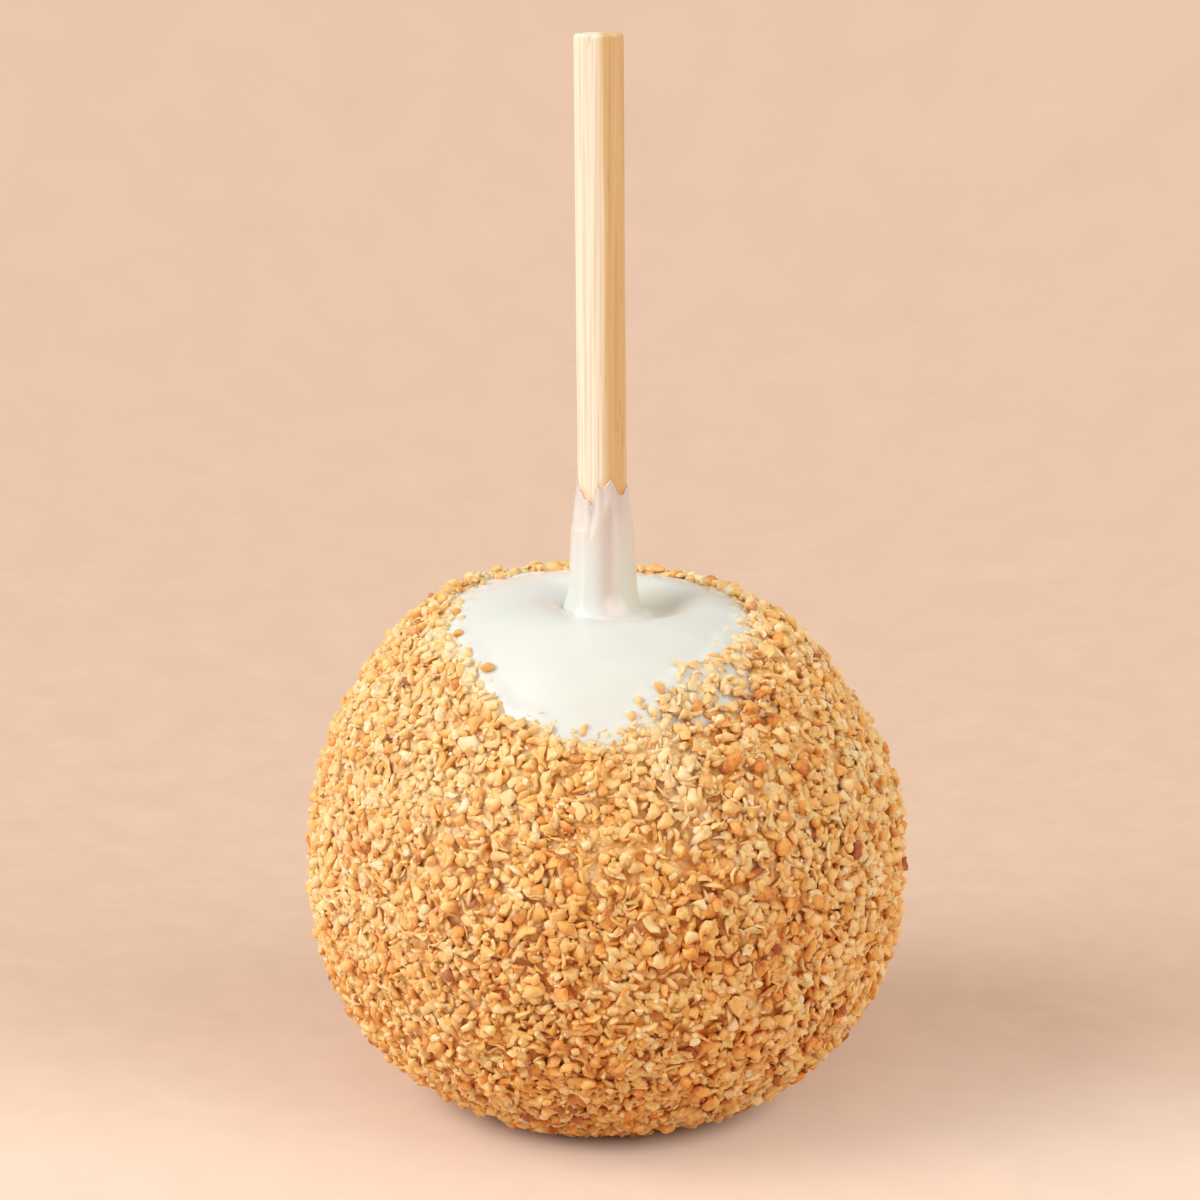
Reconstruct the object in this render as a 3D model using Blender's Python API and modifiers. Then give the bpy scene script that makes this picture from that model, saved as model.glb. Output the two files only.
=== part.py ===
"""An apple on a round wooden stick, dipped in white coating and rolled in chopped nuts.

Metres, +Z up. The origin is on the floor under the middle of the apple, which stands on the small
flat that its base took while the coating set. -Y is the front, where the bare pool of coating
round the stick dips lowest. The three pieces are the stick, the coated apple with the sleeve of
coating that climbs the stick, and the shell of chopped nuts.
"""

import math

import bmesh
import bpy
import numpy as np
from mathutils import Vector, noise

MM = 0.001
GAP = 0.3 * MM  # left between two pieces that touch on the real thing

# The stick: a standard quarter-inch dowel, four and a half inches long.
STICK_DIAMETER = 6.35 * MM
STICK_LENGTH = 114.3 * MM
STICK_TOP = 141.9 * MM
STICK_LEAN = math.radians(0.44)  # to -X, going up
STICK_OFFSET = -0.5 * MM  # of its axis from the apple's, at LEAN_HEIGHT
LEAN_HEIGHT = 70.0 * MM
STICK_CHAMFER = 0.35 * MM
STICK_SIDES = 32

# The coated apple's turned outline: two part-ellipses that meet at the widest ring.
COAT_RADIUS = 38.1 * MM
WIDEST_HEIGHT = 33.5 * MM
CROWN_HEIGHT = 73.2 * MM  # of the upper curve, before the dimple is taken out of it
UPPER_POWER = 1.99
LOWER_DEPTH = 35.1 * MM  # of the lower curve, which the flat base cuts short
LOWER_POWER = 2.4
DIMPLE_DEPTH = 7.8 * MM
DIMPLE_RADIUS = 11.8 * MM
BASE_HEIGHT = 1.3 * MM  # of the coating's flat base, over the nuts squashed under it
BASE_ROUNDING = 0.4 * MM

# The sleeve of coating on the stick, which ends in a torn crown of points.
SLEEVE_FOOT_RADIUS = 5.2 * MM
SLEEVE_WAIST_RADIUS = 4.5 * MM
SLEEVE_TOP_RADIUS = 3.95 * MM
SLEEVE_LIP = 0.15 * MM  # the crown's edge is this much thinner than the sleeve below it
SLEEVE_TOP = 83.4 * MM  # the crown's mean height
CROWN_BAND = 8.0 * MM  # the height over which the points fade into the sleeve
# The crown's points and notches: azimuth in degrees from the front towards +X, and height.
CROWN = (
    (-90, 84.2 * MM), (-23, 81.7 * MM), (-9, 84.0 * MM), (3, 83.6 * MM), (19, 84.9 * MM),
    (45, 82.6 * MM), (80, 83.8 * MM), (118, 82.3 * MM), (152, 84.4 * MM), (190, 82.2 * MM),
    (228, 83.9 * MM), (250, 82.9 * MM),
)
COAT_STEPS = 40
COAT_RINGS = 20
SLEEVE_RINGS = 4

# The shell of nuts, from the base up to an uneven border round the pool.
NUT_THICKNESS = 1.7 * MM
LUMP_HEIGHT = 1.2 * MM
LUMP_SIZE = 7.0 * MM
FLAT_RADIUS = 15.5 * MM  # the nuts under the coating are pressed flat out to here
FLOOR_THINNING = 0.55  # the share of its thickness that the shell loses down at the floor
THINNING_BAND = 7.0 * MM  # the height over which it does
BORDER_BACK_RADIUS = 17.3 * MM
BORDER_FRONT_RADIUS = 30.6 * MM
DIP_AZIMUTH = math.radians(0.5)
DIP_ROUNDING = math.radians(4)
DIP_SPREAD_LEFT = math.radians(54)
DIP_SPREAD_RIGHT = math.radians(41)
BORDER_WANDER = 1.2 * MM
RIM_ROUNDING = 2.2 * MM
NUT_STEPS = 60
NUT_RINGS = 28
RING_CROWDING = 1.35  # over 1 sets rings closer together near the top than near the base

WOOD = ("wood", (0.80, 0.56, 0.33), 0.62)
COATING = ("white_coating", (0.86, 0.82, 0.72), 0.32)
NUTS = ("chopped_nuts", (0.76, 0.44, 0.16), 0.58)


def clear_scene():
    for old in list(bpy.data.objects):
        bpy.data.objects.remove(old, do_unlink=True)


def new_collection(name):
    collection = bpy.data.collections.new(name)
    bpy.context.scene.collection.children.link(collection)
    return collection


def new_material(name, colour, roughness):
    material = bpy.data.materials.new(name)
    material.use_nodes = True
    shader = material.node_tree.nodes["Principled BSDF"]
    shader.inputs["Base Color"].default_value = (*colour, 1.0)
    shader.inputs["Roughness"].default_value = roughness
    shader.inputs["Metallic"].default_value = 0.0
    return material


def mesh_object(name, shape, look, collection):
    """Turns a bmesh into a smooth-shaded object with a material of its own."""
    bmesh.ops.recalc_face_normals(shape, faces=shape.faces)
    mesh = bpy.data.meshes.new(name)
    shape.to_mesh(mesh)
    shape.free()
    mesh.shade_smooth()
    mesh.set_sharp_from_angle(angle=math.radians(40))
    mesh.materials.append(new_material(*look))
    piece = bpy.data.objects.new(name, mesh)
    collection.objects.link(piece)
    return piece


def azimuth_of(point):
    """The angle round Z from the front, -Y, towards +X."""
    return math.atan2(point.x, -point.y)


def around(radius, azimuth, height):
    return Vector((radius * math.sin(azimuth), -radius * math.cos(azimuth), height))


def stick_axis_x(height):
    return STICK_OFFSET - (height - LEAN_HEIGHT) * math.tan(STICK_LEAN)


def coat_outline(angle):
    """(radius, height) of the coating's surface, from -90 degrees at the base to 90 at the top."""
    radius = COAT_RADIUS * math.cos(angle)
    rise = abs(math.sin(angle))
    if angle >= 0:
        height = WIDEST_HEIGHT + (CROWN_HEIGHT - WIDEST_HEIGHT) * rise ** (2 / UPPER_POWER)
        return radius, height - DIMPLE_DEPTH * math.exp(-((radius / DIMPLE_RADIUS) ** 2))
    height = WIDEST_HEIGHT - LOWER_DEPTH * rise ** (2 / LOWER_POWER)
    over_base = (height - BASE_HEIGHT) / BASE_ROUNDING
    if over_base < 30:  # past this the rounding is far below a micron
        height = BASE_HEIGHT + BASE_ROUNDING * math.log1p(math.exp(over_base))
    return radius, height


def coat_normal(angle):
    """The outline's outward direction, as (radius, height)."""
    step = 1e-4
    lower = coat_outline(max(angle - step, -math.pi / 2))
    upper = coat_outline(min(angle + step, math.pi / 2))
    along = Vector((upper[0] - lower[0], upper[1] - lower[1])).normalized()
    return along.y, -along.x


def angle_at(radius):
    """Where the upper outline has this radius."""
    return math.acos(radius / COAT_RADIUS)


def crown_height(azimuth):
    """The torn edge's height: straight from each point of the crown to the next notch."""
    turns, heights = zip(*CROWN)
    return float(np.interp(math.degrees(azimuth), turns, heights, period=360))


def sleeve_radius(height, foot):
    """Wide at the foot, a waist just above it, then a slow taper to the crown."""
    share = min(max((height - foot) / (SLEEVE_TOP - foot), 0), 1)
    flare = (SLEEVE_FOOT_RADIUS - SLEEVE_WAIST_RADIUS) * math.exp(-share * 9)
    return SLEEVE_WAIST_RADIUS + (SLEEVE_TOP_RADIUS - SLEEVE_WAIST_RADIUS) * share + flare


def apple_profile():
    """The half section of the coated apple: up the socket, over the crown and down the outside."""
    socket_radius = STICK_DIAMETER / 2 + GAP
    socket_floor = STICK_TOP - STICK_LENGTH - GAP
    foot = coat_outline(angle_at(SLEEVE_FOOT_RADIUS))[1]
    profile = [(0.0, socket_floor)]
    profile += [(socket_radius, height) for height in (socket_floor, foot, SLEEVE_TOP - CROWN_BAND)]
    profile.append((socket_radius, SLEEVE_TOP))
    profile.append((SLEEVE_TOP_RADIUS - SLEEVE_LIP, SLEEVE_TOP))
    profile.append((SLEEVE_TOP_RADIUS, SLEEVE_TOP - 2 * SLEEVE_LIP))
    for step in range(1, SLEEVE_RINGS + 1):
        height = SLEEVE_TOP - (SLEEVE_TOP - foot) * step / (SLEEVE_RINGS + 0.35)
        profile.append((sleeve_radius(height, foot), height))
    first = angle_at(SLEEVE_FOOT_RADIUS + MM)
    for step in range(COAT_RINGS):
        share = (step / COAT_RINGS) ** RING_CROWDING
        profile.append(coat_outline(first - (first + math.pi / 2) * share))
    profile.append((0.0, coat_outline(-math.pi / 2)[1]))
    return profile


def build_coated_apple(collection):
    """One turned solid, whose sleeve and socket then lean with the stick."""
    shape = bmesh.new()
    corners = [shape.verts.new((radius, 0, height)) for radius, height in apple_profile()]
    edges = [shape.edges.new(pair) for pair in zip(corners, corners[1:])]
    bmesh.ops.spin(
        shape, geom=corners + edges, cent=(0, 0, 0), axis=(0, 0, 1), angle=2 * math.pi,
        steps=COAT_STEPS, use_merge=True,
    )
    bmesh.ops.remove_doubles(shape, verts=shape.verts, dist=MM / 100)
    reach = 2.2 * SLEEVE_FOOT_RADIUS
    for corner in shape.verts:
        point = corner.co
        radius = math.hypot(point.x, point.y)
        azimuth = azimuth_of(point)
        if radius < SLEEVE_FOOT_RADIUS and point.z > SLEEVE_TOP - CROWN_BAND:
            share = (point.z - SLEEVE_TOP + CROWN_BAND) / CROWN_BAND
            point.z += (crown_height(azimuth) - SLEEVE_TOP) * share
        inward = min(max((reach - radius) / (reach - SLEEVE_FOOT_RADIUS), 0), 1)
        if point.z > STICK_TOP - STICK_LENGTH - 2 * GAP:
            point.x += inward * stick_axis_x(point.z)
    return mesh_object("coated_apple", shape, COATING, collection)


def build_stick(collection):
    """A plain cylinder with a fine chamfer at each end, set on its leaning axis."""
    shape = bmesh.new()
    bmesh.ops.create_cone(
        shape, cap_ends=True, segments=STICK_SIDES, radius1=STICK_DIAMETER / 2,
        radius2=STICK_DIAMETER / 2, depth=STICK_LENGTH,
    )
    stick = mesh_object("stick", shape, WOOD, collection)
    middle = STICK_TOP - STICK_LENGTH / 2
    stick.location = (stick_axis_x(middle), 0, middle)
    stick.rotation_euler = (0, -STICK_LEAN, 0)
    chamfer = stick.modifiers.new("end_chamfer", "BEVEL")
    chamfer.width = STICK_CHAMFER
    chamfer.segments = 2
    chamfer.limit_method = "ANGLE"
    chamfer.angle_limit = math.radians(60)
    return stick


def border_radius(azimuth):
    """How far the bare pool reaches from the middle: a V-shaped dip at the front."""
    turn = (azimuth - DIP_AZIMUTH + math.pi) % (2 * math.pi) - math.pi
    spread = DIP_SPREAD_LEFT if turn < 0 else DIP_SPREAD_RIGHT
    dip = math.exp((DIP_ROUNDING - math.hypot(turn, DIP_ROUNDING)) / spread)
    wander = noise.noise(around(3.0, azimuth, 0.0)) * BORDER_WANDER
    return BORDER_BACK_RADIUS + (BORDER_FRONT_RADIUS - BORDER_BACK_RADIUS) * dip + wander


def nut_thickness(point, from_border):
    """Lumps where the nuts pile up, squashed at the floor and rounded off at the border."""
    lump = noise.fractal(point / LUMP_SIZE, 0.9, 2.1, 2)
    squash = 1 - FLOOR_THINNING * max(1 - point.z / THINNING_BAND, 0)
    edge = 1 - min(from_border / RIM_ROUNDING, 1)
    return (NUT_THICKNESS + LUMP_HEIGHT * lump) * squash * math.sqrt(1 - edge * edge)


def build_nut_coat(collection):
    """A ball pushed in from the top into a thin cup: its equator becomes the border, its lower
    half the lumpy outside and its upper half the inside, which stays a gap clear of the coating."""
    shape = bmesh.new()
    bmesh.ops.create_uvsphere(shape, u_segments=NUT_STEPS, v_segments=2 * NUT_RINGS, radius=1.0)
    for corner in shape.verts:
        azimuth = azimuth_of(corner.co)
        latitude = math.asin(min(max(corner.co.z, -1), 1)) / (math.pi / 2)
        border = angle_at(border_radius(azimuth))
        share = min(abs(latitude), 1) ** RING_CROWDING
        angle = border - (border + math.pi / 2) * share
        radius, height = coat_outline(angle)
        out, up = coat_normal(angle)
        stand_off = GAP
        if latitude < 0:
            from_border = COAT_RADIUS * (border - angle)
            stand_off += nut_thickness(around(radius, azimuth, height), from_border)
            if angle < 0 and radius < FLAT_RADIUS:
                stand_off = height
        corner.co = around(radius + out * stand_off, azimuth, max(height + up * stand_off, 0))
    return mesh_object("nut_coat", shape, NUTS, collection)


def main():
    clear_scene()
    collection = new_collection("nut_coated_apple")
    build_stick(collection)
    build_coated_apple(collection)
    build_nut_coat(collection)


main()
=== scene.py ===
# %% [markdown]
# # An apple in white coating and chopped nuts
#
# The real thing is an apple on a round wooden stick. It was dipped in melted white coating, which
# ran up the stick as a sleeve and set round it as a smooth pool, and then it was rolled in chopped
# toasted nuts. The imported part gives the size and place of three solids: the stick, the coated
# apple and the shell of nuts. This lesson rebuilds what the eye sees of each, inside those solids.

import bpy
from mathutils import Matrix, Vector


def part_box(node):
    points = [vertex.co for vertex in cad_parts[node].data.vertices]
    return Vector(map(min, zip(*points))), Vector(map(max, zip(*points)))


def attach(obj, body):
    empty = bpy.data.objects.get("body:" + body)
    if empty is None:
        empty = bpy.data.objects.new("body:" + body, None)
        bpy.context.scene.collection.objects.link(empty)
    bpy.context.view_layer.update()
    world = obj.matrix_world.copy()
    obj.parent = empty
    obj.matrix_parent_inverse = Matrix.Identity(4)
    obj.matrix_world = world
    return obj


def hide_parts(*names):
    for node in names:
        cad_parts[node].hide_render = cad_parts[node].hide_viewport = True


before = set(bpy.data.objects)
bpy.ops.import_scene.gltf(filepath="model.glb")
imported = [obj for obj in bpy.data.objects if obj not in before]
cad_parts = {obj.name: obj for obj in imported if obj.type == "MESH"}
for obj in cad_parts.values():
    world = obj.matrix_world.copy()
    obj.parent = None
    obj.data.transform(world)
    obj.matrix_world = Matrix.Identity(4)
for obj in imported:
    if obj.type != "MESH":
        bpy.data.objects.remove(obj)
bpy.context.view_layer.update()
print("nodes:", sorted(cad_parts))

# %% [markdown]
# ## Units, helpers and one rule for chance
#
# Every length is in metres, so small ones are written as a number times `MM`. Whatever looks random
# comes from a generator with a fixed seed, one for each piece: the scene is the same each time, and
# a change to one piece doesn't reshuffle the others.

# %% Units and helpers
import math

import bmesh
import bpy
import numpy as np
from mathutils import Vector, kdtree, noise

MM = 0.001
TAU = 2 * math.pi


def dice(name):
    """A generator of its own for each piece, seeded by the piece's name."""
    return np.random.default_rng(sum(ord(letter) * (k + 1) for k, letter in enumerate(name)))


def bell(rng, spread, size):
    """Bell-shaped chance with this spread, cut off where it would give freaks."""
    return spread * np.clip(rng.normal(0, 1, size), -1.7, 1.7)


def smooth(low, high, value):
    """0 below low, 1 above high, and an even S between them."""
    share = np.clip((value - low) / (high - low), 0, 1)
    return share * share * (3 - 2 * share)


def unit(vectors):
    return vectors / np.maximum(np.linalg.norm(vectors, axis=-1, keepdims=True), 1e-12)


def noise_at(points, size, seed=0.0):
    """Smooth noise from about -1 to 1 at these points, with features of this size."""
    spots = (points / size + seed).reshape(-1, 3)
    return np.array([noise.noise(Vector(spot)) for spot in spots]).reshape(points.shape[:-1])


# %% [markdown]
# ## Meshes from arrays
#
# Two kinds of mesh come up again and again. A *skin* is a grid of points wrapped round an axis, as
# for the coating, the stick and the bed of nuts. A *crowd* is one small shape repeated thousands of
# times, each copy with a size, a turn and a tint of its own. Both are filled in through numpy,
# which takes a fraction of a second where adding vertices one by one would take minutes. Both also
# get a UV map in which no two faces lie on each other, so that their colours can be baked. Each
# point can hold three values, which the materials read as a colour named `tint`.

# %% Make a mesh object from arrays
UV_MAP = "OFBake"


def mesh_piece(name, points, faces, uvs, values):
    """points (n, 3), faces (m, 3 or 4), uvs (m, corners, 2) and three values for each point."""
    mesh = bpy.data.meshes.new(name)
    count, corners = faces.shape
    mesh.vertices.add(len(points))
    mesh.vertices.foreach_set("co", points.astype(np.float32).ravel())
    mesh.loops.add(count * corners)
    mesh.loops.foreach_set("vertex_index", faces.astype(np.int32).ravel())
    mesh.polygons.add(count)
    mesh.polygons.foreach_set("loop_start", np.arange(0, count * corners, corners, dtype=np.int32))
    mesh.update(calc_edges=True)
    mesh.uv_layers.new(name=UV_MAP).uv.foreach_set("vector", uvs.astype(np.float32).ravel())
    store = mesh.attributes.new("tint", "FLOAT_COLOR", "POINT")
    colours = np.concatenate([values, np.ones((len(points), 1))], axis=1)
    store.data.foreach_set("color", colours.astype(np.float32).ravel())
    mesh.shade_smooth()
    piece = bpy.data.objects.new(name, mesh)
    bpy.context.scene.collection.objects.link(piece)
    print(f"{name}: {count * (corners - 2)} triangles")
    return piece


def close_ends(piece, first):
    """Fills the open rings of a skin, each with one face, from this vertex on."""
    shell = bmesh.new()
    shell.from_mesh(piece.data)
    rims = [edge for edge in shell.edges if edge.is_boundary and edge.verts[0].index >= first]
    bmesh.ops.holes_fill(shell, edges=rims, sides=0)
    shell.to_mesh(piece.data)
    shell.free()


def skin_piece(name, grid, values, open_start=False):
    """grid (rings, steps, 3): each ring runs round the axis, and the last step meets the first."""
    rings, steps = grid.shape[:2]
    ring, step = np.meshgrid(np.arange(rings - 1), np.arange(steps), indexing="ij")
    after = (step + 1) % steps
    faces = np.stack([ring * steps + step, (ring + 1) * steps + step,
                      (ring + 1) * steps + after, ring * steps + after], -1).reshape(-1, 4)
    u = np.stack([step, step, step + 1, step + 1], -1).reshape(-1, 4) / steps
    v = np.stack([ring, ring + 1, ring + 1, ring], -1).reshape(-1, 4) / (rings - 1)
    uvs = 0.004 + 0.992 * np.stack([u, 1 - v], -1)
    piece = mesh_piece(name, grid.reshape(-1, 3), faces, uvs, values.reshape(-1, 3))
    close_ends(piece, steps if open_start else 0)
    return piece


# %% [markdown]
# ## The coated apple's outline
#
# A dipped apple is close to a turned shape: a part-ellipse above its widest ring and another below,
# with a dimple at the top and a small flat where it stood while the coating set. Everything that
# lies on the coating is placed by two numbers: the azimuth, which starts at the front and runs to
# the right, and the distance along the outline from the middle of the dimple. So the outline is
# worked out once, with its running length and its outward direction. A real apple isn't quite
# turned, though: this one's left shoulder is fuller than its right one.

# %% The outline
COAT_RADIUS = 38.1 * MM
WIDEST_HEIGHT = 33.5 * MM
CROWN_HEIGHT = 73.2 * MM  # of the upper curve, before the dimple is taken out of it
UPPER_POWER = 1.99
LOWER_DEPTH = 35.1 * MM
LOWER_POWER = 2.4
DIMPLE_DEPTH = 7.8 * MM
DIMPLE_RADIUS = 11.8 * MM
BASE_HEIGHT = 1.3 * MM
OUTLINE_POINTS = 3000
SHOULDER = 1.2 * MM  # how far the right shoulder lies back
LEFT_SHARE = 0.65  # of that, by which the left one stands out


def turned_outline():
    """(radius, height) from the middle of the dimple down to the middle of the base."""
    angle = np.linspace(math.pi / 2, -math.pi / 2, OUTLINE_POINTS)
    radius, rise = COAT_RADIUS * np.cos(angle), np.abs(np.sin(angle))
    upper = WIDEST_HEIGHT + (CROWN_HEIGHT - WIDEST_HEIGHT) * rise ** (2 / UPPER_POWER)
    upper -= DIMPLE_DEPTH * np.exp(-((radius / DIMPLE_RADIUS) ** 2))
    lower = np.maximum(WIDEST_HEIGHT - LOWER_DEPTH * rise ** (2 / LOWER_POWER), BASE_HEIGHT)
    return radius, np.where(angle > 0, upper, lower)


outline_r, outline_z = turned_outline()
along_r, along_z = np.gradient(outline_r), np.gradient(outline_z)
run = np.hypot(along_r, along_z)
outward_r, outward_z = -along_z / run, along_r / run
outline_arc = np.concatenate([[0], np.cumsum(np.hypot(np.diff(outline_r), np.diff(outline_z)))])
WHOLE_ARC = outline_arc[-1]
WIDEST_ARC = outline_arc[np.argmax(outline_r)]
print(f"outline {WHOLE_ARC / MM:.1f} mm long, widest {WIDEST_ARC / MM:.1f} mm from the middle")

# %% Points on the coating


def read_outline(arc, column):
    return np.interp(arc, outline_arc, column)


def around(radius, azimuth, height):
    """Points at these cylinder coordinates. Azimuth 0 is the front, -Y, and a quarter turn is +X."""
    return np.stack([radius * np.sin(azimuth), -radius * np.cos(azimuth),
                     height + 0 * azimuth], -1)


def shoulder(azimuth, arc):
    end = arc - 7 * MM * np.sin(azimuth)
    window = smooth(9 * MM, 21 * MM, arc) * (1 - smooth(27 * MM, 46 * MM, end))
    side = np.sin(azimuth)
    return -SHOULDER * side * np.where(side < 0, LEFT_SHARE, 1.0) * window


def over_coat(azimuth, arc, lift=0.0):
    """Points this far over the coating, along its outward direction."""
    lift = lift + shoulder(azimuth, arc)
    radius = read_outline(arc, outline_r) + lift * read_outline(arc, outward_r)
    return around(radius, azimuth, read_outline(arc, outline_z) + lift * read_outline(arc, outward_z))


def outward(azimuth, arc):
    return unit(around(read_outline(arc, outward_r), azimuth, read_outline(arc, outward_z)))


# %% [markdown]
# ## Where the nuts end
#
# The apple was rolled at a slant, so the bare pool round the stick dips to a V at the front. Its
# border is given by a handful of turning points, as degrees and millimetres from the axis. On most
# sides the nuts stop short, over a few millimetres, and shorter still round the back. On the right
# of the V they lie apart for a centimetre, and a narrow streak of fine pale crumbs runs down from
# its tip. `nut_share` says how full the layer is at each place, from 0 on bare coating to 1 where
# it's fully packed. The bed of nuts and the loose nuts both read it, so that they agree.

# %% The border and the fill
BORDER = ((-180, 17.2), (-130, 17.4), (-100, 18.2), (-80, 18.2), (-62, 20.4), (-45, 23.0),
          (-26, 26.8), (-14, 29.0), (-2, 29.4), (4, 28.0), (9, 26.4), (16, 24.8), (30, 22.6),
          (42, 20.4), (55, 18.8), (80, 17.6))
SHORT_FADE = 3.4 * MM
BACK_FADE = 1.4 * MM
LONG_FADE = 12 * MM
FILM_REACH = 4.2 * MM
STREAK_AZIMUTH = math.radians(8)
STREAK_SLANT = math.radians(11)
STREAK_WIDTH = math.radians(5.5)
STREAK_LENGTH = 24 * MM


def wrapped(azimuth):
    return (azimuth + math.pi) % TAU - math.pi


def border_arc(azimuth):
    """How far from the middle the bare pool reaches."""
    turns, radii = np.array(BORDER, float).T
    radius = np.interp(np.degrees(azimuth), turns, radii, period=360) * MM
    radius = radius + 0.4 * MM * np.sin(11 * azimuth + 1) + 0.3 * MM * np.sin(27 * azimuth)
    top = outline_arc < WIDEST_ARC
    return np.interp(radius, outline_r[top], outline_arc[top])


def thin_side(azimuth):
    """1 where the nuts thin out slowly, right of the V, and 0 elsewhere."""
    turn = wrapped(azimuth)
    rise = smooth(math.radians(2), math.radians(19), turn)
    return rise * (1 - smooth(math.radians(42), math.radians(62), turn))


def far_side(azimuth):
    """1 round the back, where the nuts are heaped right up to the border, and 0 in front."""
    return smooth(math.radians(65), math.radians(110), np.abs(wrapped(azimuth)))


def past_border(azimuth, arc):
    """How far past the border a place is, as a share of the width over which the nuts fade in."""
    fade = SHORT_FADE + (LONG_FADE - SHORT_FADE) * thin_side(azimuth)
    return (arc - border_arc(azimuth)) / (fade + (BACK_FADE - SHORT_FADE) * far_side(azimuth))


def streak(azimuth, arc):
    """1 in the middle of the streak of pale crumbs, fading to 0 round it."""
    past = arc - border_arc(azimuth)
    middle = STREAK_AZIMUTH + STREAK_SLANT * past / STREAK_LENGTH
    across = np.exp(-(((wrapped(azimuth) - middle) / STREAK_WIDTH) ** 2))
    return across * smooth(0, 6 * MM, past) * (1 - smooth(0.5, 1, past / STREAK_LENGTH))


def nut_share(azimuth, arc):
    past, thin = past_border(azimuth, arc), thin_side(azimuth)
    slow = 0.62 * smooth(-0.15, 0.15, past) + 0.38 * smooth(0.6, 1.15, past)
    return (smooth(-0.6, 1.0, past) * (1 - thin) + slow * thin) * (past > 0)


def coating_film(azimuth, arc):
    """How much coating clings to the nuts: most at the border, and in the pale streak."""
    reach = FILM_REACH * (1 + thin_side(azimuth)) * (1 - 0.7 * far_side(azimuth))
    film = 1 - smooth(0.3, 1.2, (arc - border_arc(azimuth)) / reach)
    return np.clip(film + 0.65 * streak(azimuth, arc), 0, 1)


for side, turn in (("front", 0.0), ("right", 90.0), ("back", 180.0), ("left", -90.0)):
    reach = float(border_arc(np.radians(turn)))
    print(f"bare pool reaches {reach / MM:.1f} mm to the {side}")

# %% [markdown]
# ## The stick's line and the sleeve's torn top
#
# The stick leans slightly to the left, so its axis is a function of height. The sleeve of coating
# follows it. Where the stick came out of the melted coating, the film tore into a few short
# pointed petals: the height of that torn edge is given by a handful of turning points, from
# petal tip to valley, as degrees and millimetres.

# %% Stick and sleeve
STICK_RADIUS = 3.175 * MM
STICK_FOOT, STICK_TOP = (corner.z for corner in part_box("stick"))
STICK_LEAN = math.radians(0.44)
STICK_OFFSET = -0.5 * MM
LEAN_HEIGHT = 70 * MM
SLEEVE_WAIST = 4.5 * MM
SLEEVE_TOP_RADIUS = 3.95 * MM
SLEEVE_FOOT_RADIUS = 5.2 * MM
SLEEVE_BAND = 80 * MM  # above this height the sleeve thins towards its torn edge
CROWN = ((-90, 84.2), (-23, 81.7), (-9, 84.0), (3, 83.6), (19, 84.9), (45, 82.6),
         (80, 83.8), (118, 82.3), (152, 84.4), (190, 82.2), (228, 83.9), (250, 82.9))


def stick_axis_x(height):
    return STICK_OFFSET - (height - LEAN_HEIGHT) * math.tan(STICK_LEAN)


def crown_height(azimuth):
    turns, heights = np.array(CROWN, float).T
    return np.interp(np.degrees(azimuth), turns, heights, period=360) * MM


def leaned(points, amount=1.0):
    """The points moved along X as the stick's axis is at their height."""
    moved = points.copy()
    moved[..., 0] += amount * stick_axis_x(points[..., 2])
    return moved


print(f"stick from {STICK_FOOT / MM:.1f} to {STICK_TOP / MM:.1f} mm")

# %% [markdown]
# ## Helpers for materials
#
# Every finish here is made from nodes. These helpers keep that short: one adds a node and fills its
# sockets by name, one does arithmetic, one mixes colours, and one turns a value into a colour
# through a ramp. Colours are written as the 0 to 255 values that a colour picker shows, and `tone`
# turns them into the linear values that Blender calculates with.

# %% Node helpers


def tone(red, painted_beige_shade, blue):
    values = np.array([red, painted_beige_shade, blue]) / 255
    linear = np.where(values <= 0.04045, values / 12.92, ((values + 0.055) / 1.055) ** 2.4)
    return (*linear.tolist(), 1.0)


def fill(tree, socket, value):
    if isinstance(value, bpy.types.NodeSocket):
        tree.links.new(value, socket)
    else:
        socket.default_value = value


def add_node(tree, kind, settings=None, **inputs):
    made = tree.nodes.new("ShaderNode" + kind)
    for name, value in (settings or {}).items():
        setattr(made, name, value)
    for name, value in inputs.items():
        fill(tree, made.inputs[name.replace("_", " ")], value)
    return made


def calculate(tree, operation, first, second=0.0, third=0.0):
    made = add_node(tree, "Math", {"operation": operation, "use_clamp": False})
    for socket, value in zip(made.inputs, (first, second, third)):
        fill(tree, socket, value)
    return made.outputs[0]


def mix_colours(tree, share, first, second, blend="MIX"):
    made = add_node(tree, "Mix", {"data_type": "RGBA", "blend_type": blend})
    for index, value in ((0, share), (6, first), (7, second)):
        fill(tree, made.inputs[index], value)
    return made.outputs[2]


def ramp(tree, value, stops):
    """A colour for each value: stops are (place, colour)."""
    made = add_node(tree, "ValToRGB", Fac=value)
    while len(made.color_ramp.elements) < len(stops):
        made.color_ramp.elements.new(0.5)
    for element, (place, colour) in zip(made.color_ramp.elements, stops):
        element.position = place
        element.color = colour
    return made.outputs[0]


def between(tree, value, low, high):
    """0 below low and 1 above high."""
    made = add_node(tree, "MapRange", {"interpolation_type": "SMOOTHSTEP"},
                    Value=value, From_Min=low, From_Max=high)
    return made.outputs[0]


def noise_node(tree, place, per_metre, detail=3.0, roughness=0.5):
    return add_node(tree, "TexNoise", Vector=place, Scale=per_metre, Detail=detail,
                    Roughness=roughness).outputs[0]


def object_place(tree):
    return add_node(tree, "TexCoord").outputs["Object"]


def stretched(tree, place, scale):
    return add_node(tree, "Mapping", Vector=place, Scale=scale).outputs[0]


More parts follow.
